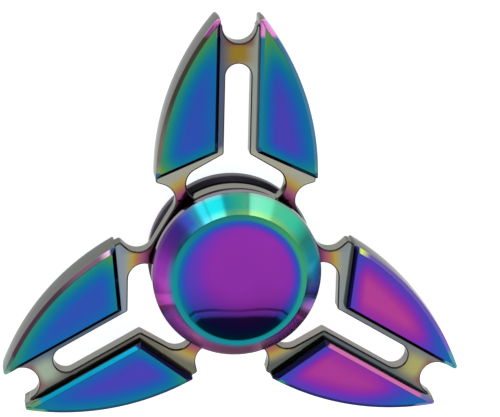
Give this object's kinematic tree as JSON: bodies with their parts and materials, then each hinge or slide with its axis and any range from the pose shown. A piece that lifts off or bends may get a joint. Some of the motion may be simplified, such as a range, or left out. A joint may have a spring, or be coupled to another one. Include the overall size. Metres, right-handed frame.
{
  "type": "fidget spinner",
  "caption": "Hand spinner with three claw-shaped arms in rainbow-plated metal, a ball bearing at the hub and two dished finger caps.",
  "frame": {"origin": "on the spin axis at half the bearing's width, which is also the middle of the claw frame's thickness", "axes": "+Z along the spin axis, out through the front cap; +Y along one arm; +X to the right of it, seen from the front"},
  "size_m": [0.0686, 0.06, 0.0176],
  "materials": {
    "frame_plating": "mirror-polished casting with a rainbow interference plating, blue and violet on the faces, teal and green at their edges",
    "cap_plating": "turned and polished metal with a rainbow interference plating, violet in the dish, teal at the lip, green to magenta round the bevel",
    "race_steel": "ground bearing steel",
    "ball_steel": "lapped bearing steel, mirror finish",
    "cage_sheet": "pressed steel strip",
    "shield_sheet": "pressed steel sheet",
    "spring_wire": "spring steel",
    "rivet_steel": "upset steel rivet"
  },
  "bodies": {
    "grip": {"front_cap": "cap_plating", "rear_cap": "cap_plating", "inner_race": "race_steel"},
    "rotor": {"claw_frame": "frame_plating", "outer_race": "race_steel", "shield_front": "shield_sheet", "shield_rear": "shield_sheet", "retaining_ring_front": "spring_wire", "retaining_ring_rear": "spring_wire"},
    "ball_cage": {"cage_front": "cage_sheet", "cage_rear": "cage_sheet", "cage_rivet_1": "rivet_steel", "cage_rivet_2": "rivet_steel", "cage_rivet_3": "rivet_steel", "cage_rivet_4": "rivet_steel", "cage_rivet_5": "rivet_steel", "cage_rivet_6": "rivet_steel", "cage_rivet_7": "rivet_steel"},
    "ball_1": {"ball_1": "ball_steel"},
    "ball_2": {"ball_2": "ball_steel"},
    "ball_3": {"ball_3": "ball_steel"},
    "ball_4": {"ball_4": "ball_steel"},
    "ball_5": {"ball_5": "ball_steel"},
    "ball_6": {"ball_6": "ball_steel"},
    "ball_7": {"ball_7": "ball_steel"}
  },
  "joints": [
    {"name": "spin", "type": "hinge", "parent": "grip", "child": "rotor", "pos_m": [0, 0, 0], "axis": [0, 0, 1], "continuous": true},
    {"name": "cage_turn", "type": "hinge", "parent": "grip", "child": "ball_cage", "pos_m": [0, 0, 0], "axis": [0, 0, 1], "continuous": true},
    {"name": "ball_1_roll", "type": "hinge", "parent": "ball_cage", "child": "ball_1", "pos_m": [0.0075, 0, 0], "axis": [0, 0, 1], "continuous": true},
    {"name": "ball_2_roll", "type": "hinge", "parent": "ball_cage", "child": "ball_2", "pos_m": [0.00468, 0.00586, 0], "axis": [0, 0, 1], "continuous": true},
    {"name": "ball_3_roll", "type": "hinge", "parent": "ball_cage", "child": "ball_3", "pos_m": [-0.00167, 0.00731, 0], "axis": [0, 0, 1], "continuous": true},
    {"name": "ball_4_roll", "type": "hinge", "parent": "ball_cage", "child": "ball_4", "pos_m": [-0.00676, 0.00325, 0], "axis": [0, 0, 1], "continuous": true},
    {"name": "ball_5_roll", "type": "hinge", "parent": "ball_cage", "child": "ball_5", "pos_m": [-0.00676, -0.00325, 0], "axis": [0, 0, 1], "continuous": true},
    {"name": "ball_6_roll", "type": "hinge", "parent": "ball_cage", "child": "ball_6", "pos_m": [-0.00167, -0.00731, 0], "axis": [0, 0, 1], "continuous": true},
    {"name": "ball_7_roll", "type": "hinge", "parent": "ball_cage", "child": "ball_7", "pos_m": [0.00468, -0.00586, 0], "axis": [0, 0, 1], "continuous": true}
  ],
  "couplings": [
    {"joint": "cage_turn", "follows": "spin", "ratio": 0.6323},
    {"joint": "ball_1_roll", "follows": "spin", "ratio": 1.7573},
    {"joint": "ball_2_roll", "follows": "spin", "ratio": 1.7573},
    {"joint": "ball_3_roll", "follows": "spin", "ratio": 1.7573},
    {"joint": "ball_4_roll", "follows": "spin", "ratio": 1.7573},
    {"joint": "ball_5_roll", "follows": "spin", "ratio": 1.7573},
    {"joint": "ball_6_roll", "follows": "spin", "ratio": 1.7573},
    {"joint": "ball_7_roll", "follows": "spin", "ratio": 1.7573}
  ]
}
